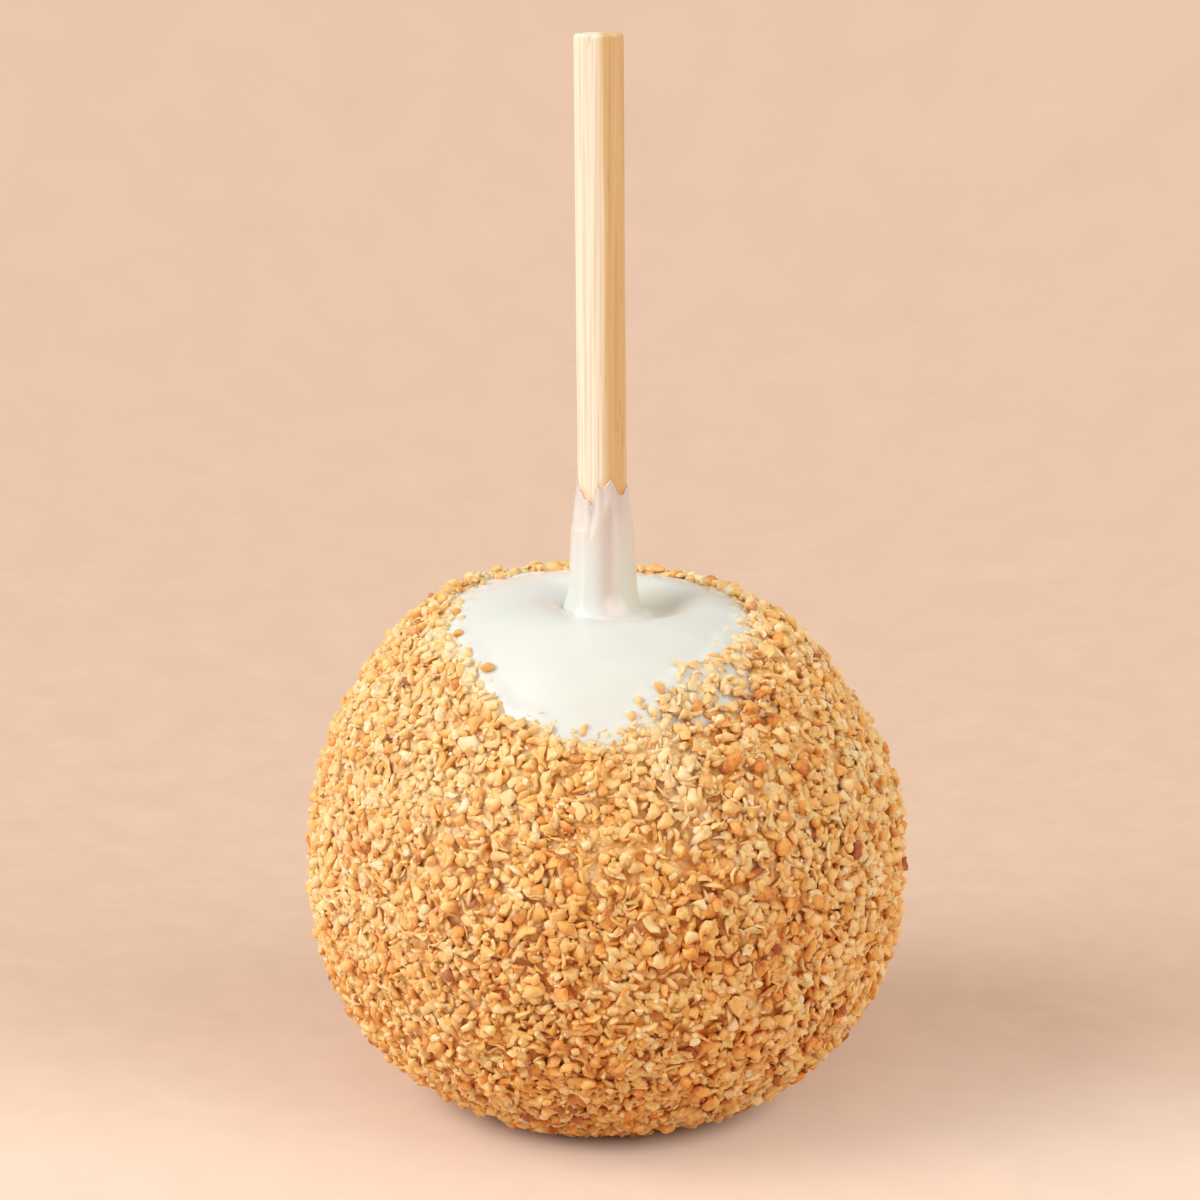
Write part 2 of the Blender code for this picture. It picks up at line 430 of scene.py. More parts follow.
def new_group(name, inputs, outputs):
    """An empty shader node group: inputs are {name: default value}, outputs {name: socket type}."""
    tree = bpy.data.node_groups.new(name, "ShaderNodeTree")
    for label, value in inputs.items():
        socket = tree.interface.new_socket(label, in_out="INPUT", socket_type="NodeSocketFloat")
        socket.default_value = value
    for label, kind in outputs.items():
        tree.interface.new_socket(label, in_out="OUTPUT", socket_type="NodeSocket" + kind)
    return tree, tree.nodes.new("NodeGroupInput").outputs, tree.nodes.new("NodeGroupOutput").inputs


def use_group(tree, group, **inputs):
    made = tree.nodes.new("ShaderNodeGroup")
    made.node_tree = group
    for name, value in inputs.items():
        fill(tree, made.inputs[name.replace("_", " ")], value)
    return made.outputs


def new_material(name):
    """(material, its node tree, its Principled BSDF)."""
    material = bpy.data.materials.new(name)
    material.use_nodes = True
    tree = material.node_tree
    return material, tree, tree.nodes["Principled BSDF"]


def tint_values(tree):
    """The three values that each point of a piece holds."""
    stored = add_node(tree, "Attribute", {"attribute_name": "tint"})
    return add_node(tree, "SeparateColor", Color=stored.outputs["Color"]).outputs


def bump(tree, height, distance, strength=1.0):
    return add_node(tree, "Bump", Height=height, Distance=distance, Strength=strength).outputs[0]


# %% [markdown]
# ## Fine unevenness, shared by every finish
#
# Nothing here is of one even colour. Set coating has faint cloudy patches, nuts have speckles, and
# wood has them drawn out along its grain. It's the same effect at different sizes, so it's one node
# group: a broad and a fine noise, mixed, which comes out as a value round 0.5 for the colour and
# another for small bumps.

# %% The Unevenness group


def unevenness_group():
    tree, given, put = new_group(
        "Unevenness", {"Broad size": 400.0, "Fine size": 3000.0, "Stretch": 1.0},
        {"Broad": "Float", "Fine": "Float"})
    scale = add_node(tree, "CombineXYZ", X=1.0, Y=1.0, Z=given["Stretch"]).outputs[0]
    place = stretched(tree, object_place(tree), scale)
    fill(tree, put["Broad"], noise_node(tree, place, given["Broad size"], 2.0))
    fill(tree, put["Fine"], noise_node(tree, place, given["Fine size"], 3.0, 0.6))
    return tree


UNEVENNESS = unevenness_group()
print("group:", UNEVENNESS.name)

# %% [markdown]
# ## The finish of the white coating
#
# The coating is a set confectioner's melt: opaque cream-white, satin, and slightly see-through at
# the surface, which softens every edge. So it's a Principled BSDF with a little subsurface light
# and a thin smooth coat. Each point's three values paint light and shade into its colour. The
# first paints a faint pink: a painted reflection of warm light near the torn edge, and painted
# shade in a band down the sleeve. The second paints a beige shade on the sleeve's right side and
# in the hollow beside it, and the third paints the pool behind the stick whiter, as painted light.

# %% Coating material


def coating_material():
    material, tree, shader = new_material("set white coating")
    uneven = use_group(tree, UNEVENNESS, Broad_size=160.0, Fine_size=1500.0)
    pink_reflection_and_shade, painted_beige_shade, painted_pool_light = tint_values(tree)
    white = ramp(tree, uneven["Broad"], [(0.3, tone(222, 225, 216)), (0.7, tone(227, 230, 222))])
    # Painted light: a whiter pool behind the stick.
    white = mix_colours(tree, painted_pool_light, white, tone(246, 246, 238))
    # Painted shade: beige.
    white = mix_colours(tree, painted_beige_shade, white, tone(220, 211, 184))
    # Painted reflection and painted shade: the faint pink.
    fill(tree, shader.inputs["Base Color"], mix_colours(tree, pink_reflection_and_shade, white, tone(236, 208, 200)))
    roughness = calculate(tree, "MULTIPLY_ADD", uneven["Fine"], 0.12, 0.26)
    fill(tree, shader.inputs["Roughness"], roughness)
    shader.inputs["Subsurface Weight"].default_value = 0.22
    shader.inputs["Subsurface Radius"].default_value = (1.0, 0.75, 0.5)
    shader.inputs["Subsurface Scale"].default_value = 0.0025
    shader.inputs["Coat Weight"].default_value = 0.45
    shader.inputs["Coat Roughness"].default_value = 0.16
    fill(tree, shader.inputs["Normal"], bump(tree, uneven["Broad"], 0.0004, 0.25))
    return material


COATING = coating_material()

# %% [markdown]
# ## The coating: pool, sleeve and torn edge
#
# It's one skin, turned round the stick. The path starts in the socket, runs up inside the sleeve
# against the wood, folds over the torn edge, and comes down outside, over the pool and round to
# the base. Turning one profile would make the sleeve look machined, so each ring is shaped as it
# goes: petals of different height, a crease below each valley between them, a small step on the
# left where a second film of coating ended, and faint flutes where it ran down. The few rings at
# the foot flare into the pool.

# %% Shape of the sleeve
COATING_STEPS = 200
WALL_RINGS = 6
SLEEVE_RINGS = 62
FOOT_RISE = 0.7 * MM
FOOT_SPREAD = 0.5 * MM
FLARE_HEIGHT = 1.5 * MM
EDGE_THICKNESS = 0.22 * MM
STEP_HEIGHT = 78 * MM
RIDGE_HEIGHT = 0.4 * MM  # of the coating that was pushed up between the first nuts
GROOVE_AZIMUTH = math.radians(15)
GROOVE_WIDTH = math.radians(16)
GROOVE_DEPTH = 0.66 * MM


def pool_height(radius):
    top = outline_arc < WIDEST_ARC
    fillet = FOOT_RISE * np.exp(-(radius - SLEEVE_FOOT_RADIUS) / FOOT_SPREAD)
    return np.interp(radius, outline_r[top], outline_z[top]) + fillet


def valley_crease(azimuth, below_edge):
    """Depth of the creases that run down from the valleys of the torn edge."""
    depth = np.zeros(np.broadcast(azimuth, below_edge).shape)
    for valley, slant, deep in ((-23, 2.2, 0.34), (3, 0.6, 0.12), (45, -1.5, 0.26),
                                (118, 1.0, 0.25), (190, -1.0, 0.3), (250, 1.4, 0.3)):
        centre = math.radians(valley) + np.radians(slant * below_edge / MM)
        across = wrapped(azimuth - centre) / math.radians(7)
        depth = depth + deep * MM * np.exp(-(across**2) - (below_edge / (3.2 * MM)) ** 2)
    return depth


def sleeve_radius(azimuth, height, foot):
    share = np.clip((height - foot) / (SLEEVE_BAND - foot), 0, 1)
    radius = SLEEVE_WAIST + (SLEEVE_TOP_RADIUS - SLEEVE_WAIST) * share
    radius = radius + (SLEEVE_FOOT_RADIUS - SLEEVE_WAIST) * np.exp(-(height - foot) / FLARE_HEIGHT)
    below_edge = crown_height(azimuth) - height
    thin = STICK_RADIUS + EDGE_THICKNESS
    radius = thin + (radius - thin) * smooth(-0.5 * MM, 5.5 * MM, below_edge)
    left = smooth(math.radians(70), math.radians(30), np.abs(wrapped(azimuth + math.pi / 2)))
    step = 0.2 * MM * left * smooth(STEP_HEIGHT + 0.5 * MM, STEP_HEIGHT, height)
    low = smooth(0, 3 * MM, height - foot)
    flute = low * 0.07 * MM * (np.cos(3 * azimuth + 0.8) + 0.6 * np.cos(5 * azimuth - 1))
    groove = GROOVE_DEPTH * np.exp(-(((azimuth - GROOVE_AZIMUTH) / GROOVE_WIDTH) ** 2))
    groove = groove * low * smooth(2 * MM, 6 * MM, below_edge)
    shaped = radius + step + flute - groove - valley_crease(azimuth, below_edge) * low
    return np.maximum(shaped, STICK_RADIUS + 0.14 * MM)


# %% The coating's rings


def coating_rings():
    """(rings, steps, 3) points, from the socket's bottom to the middle of the base."""
    azimuth = np.arange(COATING_STEPS) / COATING_STEPS * TAU - math.pi
    grip = STICK_RADIUS - 0.03 * MM
    crown = crown_height(azimuth) + 0.25 * MM * np.sin(11 * azimuth) * np.sin(7 * azimuth + 1)
    foot = pool_height(SLEEVE_FOOT_RADIUS)
    rings = [around(radius, azimuth, STICK_FOOT) for radius in (0.3 * MM, grip)]
    for share in np.linspace(0.1, 1, WALL_RINGS):
        rings.append(around(grip, azimuth, STICK_FOOT + (crown - 0.1 * MM - STICK_FOOT) * share))
    rings.append(around(STICK_RADIUS + 0.09 * MM, azimuth, crown + 0.04 * MM))
    for share in np.linspace(0, 1, SLEEVE_RINGS) ** 1.2:
        height = crown + (foot - crown) * share
        rings.append(around(sleeve_radius(azimuth, height, foot), azimuth, height))
    for radius in SLEEVE_FOOT_RADIUS + np.array([0.25, 0.5, 0.8, 1.1, 1.5, 2.0]) * MM:
        rings.append(around(radius, azimuth, pool_height(radius)))
    start = float(np.interp(rings[-1][0, 0] ** 2 + rings[-1][0, 1] ** 2, outline_r[:900] ** 2,
                            outline_arc[:900]))
    fine = np.linspace(start + 0.5 * MM, 46 * MM, 64)
    coarse = np.linspace(48 * MM, WHOLE_ARC - 0.3 * MM, 14)
    for arc in np.concatenate([fine, coarse]):
        past = (arc - border_arc(azimuth)) / MM
        ridge = RIDGE_HEIGHT * smooth(-0.8, 0.8, past) * (1 - smooth(1.8, 4, past))
        rings.append(over_coat(azimuth, np.full(COATING_STEPS, arc), ridge))
    return np.array(rings)


HOLLOW_AZIMUTH = math.radians(98)
HOLLOW_DEPTH = 1.3 * MM
HOLLOW_RADIUS = 8.3 * MM
HOLLOW_WIDTH = 3.0 * MM
LEFT_FILL = 1.3 * MM


def coating_waves(points):
    """The small unevenness of the pool: long low waves, a soft hollow right of the sleeve."""
    out = np.hypot(points[..., 0], points[..., 1])
    in_pool = smooth(6 * MM, 10 * MM, out) * smooth(20 * MM, 50 * MM, points[..., 2])
    wave = noise_at(points, 9 * MM, 3.1) * 0.14 * MM
    azimuth = np.arctan2(points[..., 0], -points[..., 1])
    aside = 0.2 + 0.8 * np.clip(np.cos(azimuth - HOLLOW_AZIMUTH), 0, 1) ** 1.5
    hollow = HOLLOW_DEPTH * aside * np.exp(-(((out - HOLLOW_RADIUS) / HOLLOW_WIDTH) ** 2))
    left = np.clip(-np.sin(azimuth), 0, 1)
    filled = LEFT_FILL * left * np.exp(-(((out - HOLLOW_RADIUS) / (1.4 * HOLLOW_WIDTH)) ** 2))
    clear = smooth(SLEEVE_FOOT_RADIUS, SLEEVE_FOOT_RADIUS + 1.5 * MM, out)
    return in_pool * wave + (filled - hollow) * clear


def build_coating():
    points = coating_rings()
    points[..., 2] += coating_waves(points)
    height = points[..., 2]
    azimuth = np.arctan2(points[..., 0], -points[..., 1])
    out = np.hypot(points[..., 0], points[..., 1])
    on_sleeve = smooth(SLEEVE_FOOT_RADIUS + 1 * MM, SLEEVE_FOOT_RADIUS, out)
    points = leaned(points, 1.0) * on_sleeve[..., None] + points * (1 - on_sleeve[..., None])
    # Painted reflection: a faint pink high on the sleeve, as warm light reflected near the torn edge.
    pink_reflection_and_shade = on_sleeve * smooth(72 * MM, 81 * MM, height) * (0.38 + 0.24 * np.cos(azimuth - 0.7))
    # Painted shade: pink-mauve in the band down the groove.
    band = np.exp(-(((azimuth - GROOVE_AZIMUTH) / (1.3 * GROOVE_WIDTH)) ** 2))
    pink_reflection_and_shade = np.maximum(pink_reflection_and_shade, 0.72 * on_sleeve * band * smooth(60 * MM, 72 * MM, height))
    # Painted shade: beige on the sleeve's right side, away from the main light, and in the hollow right of
    # the sleeve.
    painted_beige_shade = on_sleeve * smooth(math.radians(35), math.radians(75), azimuth) * (1 - pink_reflection_and_shade) * 0.4
    right = np.exp(-(((azimuth - HOLLOW_AZIMUTH) / math.radians(55)) ** 2))
    hollow = right * np.exp(-(((out - HOLLOW_RADIUS) / HOLLOW_WIDTH) ** 2))
    painted_beige_shade = np.maximum(painted_beige_shade, 0.85 * (1 - on_sleeve) * hollow)
    # Painted light: the pool behind the stick whiter, most on the left, where it gets less of the main
    # light.
    behind = smooth(math.radians(55), math.radians(120), np.abs(wrapped(azimuth)))
    painted_pool_light = (1 - on_sleeve) * behind * smooth(0.4, -0.3, np.sin(azimuth))
    piece = skin_piece("coating", points, np.stack([pink_reflection_and_shade, painted_beige_shade, painted_pool_light], -1))
    piece.data.materials.append(COATING)
    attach(piece, "root")
    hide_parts("coated_apple")
    return piece


coating = build_coating()

# %% [markdown]
# ## The finish of the wood
#
# The stick is a turned birch dowel, sanded but not sealed. Birch has fine straight grain, a little
# darker and redder between bands of pale wood, and short dark pores. All of that is the shared
# unevenness, stretched along the stick until it reads as lines: the stretch is a small number
# because a texture that changes slowly along an axis is drawn out along it. The first of each
# point's values makes the right-hand half of the stick tan: partly the wood's own colour, and
# partly painted shade on the side away from the main light. The second paints a darker orange
# shade where the wood comes out of the coating's torn edge.

# %% Wood material


def wood_material():
    material, tree, shader = new_material("birch dowel")
    streaks = use_group(tree, UNEVENNESS, Broad_size=900.0, Fine_size=3600.0, Stretch=0.03)
    lines = use_group(tree, UNEVENNESS, Broad_size=2600.0, Fine_size=7000.0, Stretch=0.012)
    patches = use_group(tree, UNEVENNESS, Broad_size=250.0, Fine_size=500.0, Stretch=0.25)
    tan, painted_edge_shade, _ = tint_values(tree)
    # The tan, tint's first value, is partly the wood's own colour and partly painted shade on the right
    # side.
    shifted = calculate(tree, "MULTIPLY_ADD", streaks["Broad"], 0.9, -0.45)
    share = calculate(tree, "ADD", tan, shifted)
    share = calculate(tree, "MULTIPLY_ADD", patches["Broad"], 0.3, calculate(tree, "ADD", share, -0.15))
    wood = ramp(tree, share, [(0.0, tone(247, 238, 216)), (0.42, tone(246, 231, 200)),
                              (0.62, tone(239, 214, 168)), (1.0, tone(229, 194, 140))])
    fine = between(tree, lines["Broad"], 0.42, 0.66)
    wood = mix_colours(tree, calculate(tree, "MULTIPLY", fine, 0.34), wood, tone(214, 158, 96))
    pores = between(tree, streaks["Fine"], 0.64, 0.72)
    pores = calculate(tree, "MULTIPLY", pores, calculate(tree, "MULTIPLY_ADD", tan, 0.5, 0.12))
    wood = mix_colours(tree, pores, wood, tone(160, 104, 58))
    # Painted shade: darker orange where the wood comes out of the coating.
    wood = mix_colours(tree, painted_edge_shade, wood, tone(232, 160, 84))
    fill(tree, shader.inputs["Base Color"], wood)
    fill(tree, shader.inputs["Roughness"], calculate(tree, "MULTIPLY_ADD", lines["Fine"], 0.2, 0.45))
    shader.inputs["Specular IOR Level"].default_value = 0.35
    relief = calculate(tree, "SUBTRACT", lines["Fine"], calculate(tree, "MULTIPLY", pores, 0.8))
    fill(tree, shader.inputs["Normal"], bump(tree, relief, 0.00015, 0.5))
    return material


WOOD = wood_material()

# %% [markdown]
# ## The stick
#
# A cylinder would look like plastic, because sanding leaves a real dowel faintly uneven: shallow
# grooves follow the grain, the end is rounded over and slightly chipped, and a hairline crack runs
# down from it. So the stick is a skin too, with each of those as a small change of radius.

# %% Build the stick
STICK_STEPS = 72
END_ROUNDING = 0.55 * MM
CRACK_AZIMUTH = math.radians(-20)
CRACK_LENGTH = 2.6 * MM
TAN_SHADE_MIDDLE = math.radians(62)


def stick_grid():
    azimuth = np.arange(STICK_STEPS) / STICK_STEPS * TAU - math.pi
    side = np.linspace(STICK_FOOT + 0.4 * MM, STICK_TOP - END_ROUNDING, 90)
    bend = np.linspace(0, math.pi / 2, 8)[1:]
    heights = np.concatenate([[STICK_FOOT] * 2, side, STICK_TOP - END_ROUNDING * (1 - np.sin(bend)),
                              [STICK_TOP] * 5])
    full = STICK_RADIUS - END_ROUNDING
    radii = np.concatenate([[0.2 * MM, STICK_RADIUS - 0.3 * MM], np.full(90, STICK_RADIUS),
                            full + END_ROUNDING * np.cos(bend), full * np.linspace(0.85, 0.1, 5)])
    grid = around(radii[:, None], azimuth[None, :], heights[:, None])
    drawn = grid * np.array([1, 1, 0.04])
    groove = noise_at(drawn, 0.8 * MM, 5.0) * 0.035 * MM + noise_at(drawn, 2.5 * MM, 9.0) * 0.03 * MM
    below = STICK_TOP - heights[:, None]
    crack = np.exp(-((wrapped(azimuth - CRACK_AZIMUTH) / math.radians(3)) ** 2))
    crack = crack * smooth(CRACK_LENGTH, 0, below) * 0.3 * MM
    chips = np.clip(noise_at(grid, 0.7 * MM, 2.0) - 0.2, 0, 1) * smooth(1.5 * MM, 0, below) * 0.5 * MM
    grown = radii[:, None] + (groove - crack - chips) * (radii[:, None] / STICK_RADIUS)
    grid = around(grown, azimuth[None, :], heights[:, None])
    grid[..., 2] -= smooth(1.5 * MM, 0, below) * (0.1 * MM + noise_at(grid, 1.5 * MM) * 0.1 * MM)
    return azimuth, leaned(grid)


def build_stick():
    azimuth, grid = stick_grid()
    # The right-hand half, away from the main light, is tan: partly the wood's own colour, partly painted
    # shade.
    turn = np.abs(wrapped(azimuth - TAN_SHADE_MIDDLE))
    tan = np.broadcast_to(smooth(math.radians(75), math.radians(40), turn), grid.shape[:2])
    over_edge = grid[..., 2] - crown_height(azimuth)
    # Painted shade: darker orange where the wood comes out of the coating's torn edge.
    painted_edge_shade = np.exp(-np.clip(over_edge, 0, None) / (0.35 * MM)) * 0.8
    piece = skin_piece("stick_wood", grid, np.stack([tan, painted_edge_shade, 0 * tan], -1))
    piece.data.materials.append(WOOD)
    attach(piece, "root")
    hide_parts("stick")
    return piece


stick = build_stick()

# %% [markdown]
# ## The finish of the nuts
#
# Chopped toasted nuts run from pale cream where a bit was broken open to gold and orange-brown
# where its outside met the heat. Each point says how toasted it is, with some painted light and
# shade mixed in, how much white coating clings to it, and how much painted shade it gets for lying
# deep in the layer. One node group turns these into a colour, with speckles smaller than a bit, and
# every kind of nut uses it. The light that passes through the oily flesh warms the gaps between
# bits, so there's some subsurface light as well.

# %% The Nut flesh group and the nut materials


def nut_flesh_group():
    tree, given, put = new_group(
        "Nut flesh", {"Toast": 0.4, "Coated": 0.0, "Deep": 0.0},
        {"Color": "Color", "Roughness": "Float", "Height": "Float"})
    uneven = use_group(tree, UNEVENNESS, Broad_size=1300.0, Fine_size=5200.0)
    speckle = calculate(tree, "MULTIPLY_ADD", uneven["Broad"], 0.5, -0.25)
    toast = calculate(tree, "ADD", given["Toast"], speckle)
    toast = calculate(tree, "MULTIPLY_ADD", uneven["Fine"], 0.24, calculate(tree, "ADD", toast, -0.12))
    flesh = ramp(tree, toast, [
        (0.0, tone(252, 232, 193)), (0.22, tone(252, 220, 161)), (0.42, tone(250, 205, 131)),
        (0.62, tone(243, 182, 97)), (0.82, tone(226, 148, 66)), (1.0, tone(172, 94, 49))])
    # Painted shade: deep points multiplied towards a darker gold.
    flesh = mix_colours(tree, given["Deep"], flesh, tone(232, 174, 104), "MULTIPLY")
    patch = between(tree, uneven["Broad"], 0.35, 0.65)
    patch = calculate(tree, "MULTIPLY", patch, 0.5)
    coated = calculate(tree, "MULTIPLY", given["Coated"], calculate(tree, "ADD", patch, 0.5))
    fill(tree, put["Color"], mix_colours(tree, coated, flesh, tone(249, 231, 190)))
    fill(tree, put["Roughness"], calculate(tree, "MULTIPLY_ADD", uneven["Fine"], 0.3, 0.32))
    fill(tree, put["Height"], uneven["Fine"])
    return tree


NUT_FLESH = nut_flesh_group()


PACKED_SIZE = 850.0  # of the bed's finest bits, a metre


def nut_material(name, subsurface, bumps, packed=False):
    material, tree, shader = new_material(name)
    toast, coated, deep = tint_values(tree)
    if packed:
        bits = add_node(tree, "TexVoronoi", Vector=object_place(tree), Scale=PACKED_SIZE).outputs
        chance = add_node(tree, "SeparateColor", Color=bits["Color"]).outputs[0]
        toast = calculate(tree, "ADD", toast, calculate(tree, "MULTIPLY_ADD", chance, 0.4, -0.2))
        # Painted shade: the bed darker towards the edge of each packed bit, in the creases between them.
        deep = calculate(tree, "MULTIPLY", deep, calculate(tree, "MULTIPLY", bits["Distance"], 1.6))
    flesh = use_group(tree, NUT_FLESH, Toast=toast, Coated=coated, Deep=deep)
    fill(tree, shader.inputs["Base Color"], flesh["Color"])
    fill(tree, shader.inputs["Roughness"], flesh["Roughness"])
    shader.inputs["Subsurface Weight"].default_value = subsurface
    shader.inputs["Subsurface Radius"].default_value = (1.0, 0.65, 0.35)
    shader.inputs["Subsurface Scale"].default_value = 0.0011
    shader.inputs["Specular IOR Level"].default_value = 0.4
    height, rise = flesh["Height"], 0.12 * MM
    if packed:
        height, rise = calculate(tree, "SUBTRACT", 1.0, bits["Distance"]), 0.9 * MM
    fill(tree, shader.inputs["Normal"], bump(tree, height, rise, bumps))
    return material


NUTS = nut_material("chopped toasted nuts", 0.22, 0.5)
NUT_BED = nut_material("packed nuts", 0.22, 1.0, packed=True)

# %% [markdown]
# ## The bed of nuts
#
# Behind the bits that can be told apart, the layer is packed with more of the same. That could be
# thousands of hidden bits, but relief does as well and costs far less: a skin over the coating,
# raised into a dome round each of several thousand scattered seeds, with a crease where two domes
# meet. Where the layer thins out, the skin dips below the coating's surface, and only the highest
# domes still come through it.

# %% Scatter places evenly over the layer
outline_area = np.concatenate([[0], np.cumsum((outline_r[1:] + outline_r[:-1]) / 2
                                              * np.diff(outline_arc))])


def throw_darts(rng, tries):
    """(azimuth, arc) of places spread evenly over the whole coating."""
    arc = np.interp(rng.random(tries) * outline_area[-1], outline_area, outline_arc)
    return rng.uniform(-math.pi, math.pi, tries), arc


def scatter(rng, count, gap, power=1.0, middle=0.0, sides=0.0, tries_each=14):
    """Up to count places on the layer, no two nearer than gap. Fewer fall where it is thin, and
    under the base, where nothing shows. middle and sides are shares that are kept from the sides
    or from the middle."""
    azimuth, arc = throw_darts(rng, count * tries_each)
    chance = nut_share(azimuth, arc) ** power * (1 - 0.75 * smooth(95 * MM, 100 * MM, arc))
    aside = np.abs(np.sin(azimuth))
    wanted = rng.random(len(arc)) < chance * (1 - middle * aside - sides * (1 - aside))
    azimuth, arc = azimuth[wanted], arc[wanted]
    spots = over_coat(azimuth, arc)
    cells = np.floor(spots / gap).astype(int)
    near = [(x, y, z) for x in (-1, 0, 1) for y in (-1, 0, 1) for z in (-1, 0, 1)]
    taken, kept = {}, []
    for index, (spot, cell) in enumerate(zip(spots.tolist(), cells.tolist())):
        found = (taken.get((cell[0] + x, cell[1] + y, cell[2] + z), ()) for x, y, z in near)
        if any(math.dist(spot, other) < gap for group in found for other in group):
            continue
        taken.setdefault(tuple(cell), []).append(spot)
        kept.append(index)
        if len(kept) == count:
            break
    return azimuth[kept], arc[kept]


# %% Build the bed
BED_STEPS = 280
BED_RINGS = 104
BED_GAP = 1.6 * MM
BED_LOW = -2.3 * MM
BED_RISE = 2.75 * MM
BED_LEFT = 0.35 * MM  # more than that on the left
DOME_RISE = 0.75 * MM
NUT_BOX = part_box("nut_coat")


def left_side(azimuth):
    return smooth(-0.1, 0.9, -np.sin(azimuth))


def left_film(azimuth, arc):
    """1 high on the left, where a thin film of coating crept over the nuts, and 0 elsewhere."""
    return left_side(azimuth) * (1 - smooth(60 * MM, 85 * MM, arc))


def toast_light_and_shade_at(azimuth, arc):
    """How toasted the nuts are on average, with slow drifts round the apple, and paler on the left.
    Paler on the right is painted light on the side away from the main light, and more toasted
    lower down is painted shade towards the bottom."""
    # Painted shade: more toasted, so darker, towards the bottom.
    lower = np.clip((arc - 60 * MM) / (32 * MM), -0.7, 1)
    drift = 0.09 * noise_at(over_coat(azimuth, arc), 13 * MM, 21.0)
    # Painted light: paler on the right, the side away from the main light.
    right = np.clip(np.sin(azimuth), 0, 1)
    return 0.53 + 0.05 * lower - 0.1 * left_side(azimuth) - 0.16 * right + drift


def size_at(azimuth):
    """The nuts on the left are chopped finer than the rest."""
    return 1 - 0.08 * np.clip(-np.sin(azimuth) * 1.6 - 0.3, 0, 1)


def bed_lift(azimuth, arc):
    rise = BED_RISE + BED_LEFT * left_side(azimuth)
    return BED_LOW + rise * nut_share(azimuth, arc)


def build_bed():
    rng = dice("bed")
    seed_azimuth, seed_arc = scatter(rng, 6000, BED_GAP, power=0.4)
    seeds = over_coat(seed_azimuth, seed_arc)
    finder = kdtree.KDTree(len(seeds))
    for index, seed in enumerate(seeds):
        finder.insert(seed, index)
    finder.balance()
    azimuth = np.arange(BED_STEPS) / BED_STEPS * TAU - math.pi
    share = np.linspace(0, 1, BED_RINGS)[:, None]
    first = border_arc(azimuth)[None, :] - 1 * MM
    arc = first + (WHOLE_ARC - 0.4 * MM - first) * share
    azimuth = np.broadcast_to(azimuth, arc.shape)
    spots = over_coat(azimuth, arc)
    found = [finder.find_n(spot, 2) for spot in spots.reshape(-1, 3)]
    nearest = np.array([pair[0][1] for pair in found]).reshape(arc.shape)
    first_off = np.array([pair[0][2] for pair in found]).reshape(arc.shape)
    second_off = np.array([pair[1][2] for pair in found]).reshape(arc.shape)
    size = rng.uniform(0.5, 1.0, len(seeds))[nearest]
    dome = np.sqrt(np.clip(1 - (first_off / (1.3 * MM)) ** 2, 0, 1))
    crease = smooth(0.0, 0.35 * MM, second_off - first_off)
    lift = bed_lift(azimuth, arc) + DOME_RISE * size * dome * (0.55 + 0.45 * crease)
    grid = over_coat(azimuth, arc, lift)
    grid[..., 2] = np.maximum(grid[..., 2], 0)
    toast = toast_light_and_shade_at(azimuth, arc) + bell(rng, 0.13, len(seeds))[nearest]
    coated = np.maximum(coating_film(azimuth, arc), 0.5 * left_film(azimuth, arc))
    # No painted shade yet: shade_by_depth fills it in.
    deep = 0 * coated
    piece = skin_piece("nut_bed", grid, np.stack([toast, coated, deep], -1), open_start=True)
    piece.data.materials.append(NUT_BED)
    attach(piece, "root")
    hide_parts("nut_coat")
    return piece


bed = build_bed()

# %% [markdown]
# ## The shape of a chopped nut
#
# Every bit starts as a small ball. Growing it in a few random directions makes it knobbly, denting
# it makes it look broken, and slicing it with a few planes gives the flat faces that a knife
# leaves. Those faces are paler, since they were inside the nut when it was toasted. Then the bit is
# squashed to its own length, width and thickness, and a sliver is bent as well. A copy of the ball
# that knows nothing of the others would waste time, so numpy shapes a whole crowd at once.

# %% Balls and their maps


ROD_SIDES = 5
ROD_RINGS = 5


def rod_mesh(shell):
    """A ball whose rings lie across X, so that it bends smoothly when it is drawn out."""
    ends = [shell.verts.new((side, 0, 0)) for side in (1, -1)]
    rings = []
    for away in np.arange(1, ROD_RINGS + 1) / (ROD_RINGS + 1) * math.pi:
        turn = np.arange(ROD_SIDES) / ROD_SIDES * TAU + away
        rings.append([shell.verts.new((math.cos(away), math.sin(away) * math.cos(a),
                                       math.sin(away) * math.sin(a))) for a in turn])
    for step in range(ROD_SIDES):
        after = (step + 1) % ROD_SIDES
        shell.faces.new((ends[0], rings[0][step], rings[0][after]))
        shell.faces.new((ends[1], rings[-1][after], rings[-1][step]))
        for one, other in zip(rings, rings[1:]):
            shell.faces.new((one[step], other[step], other[after], one[after]))


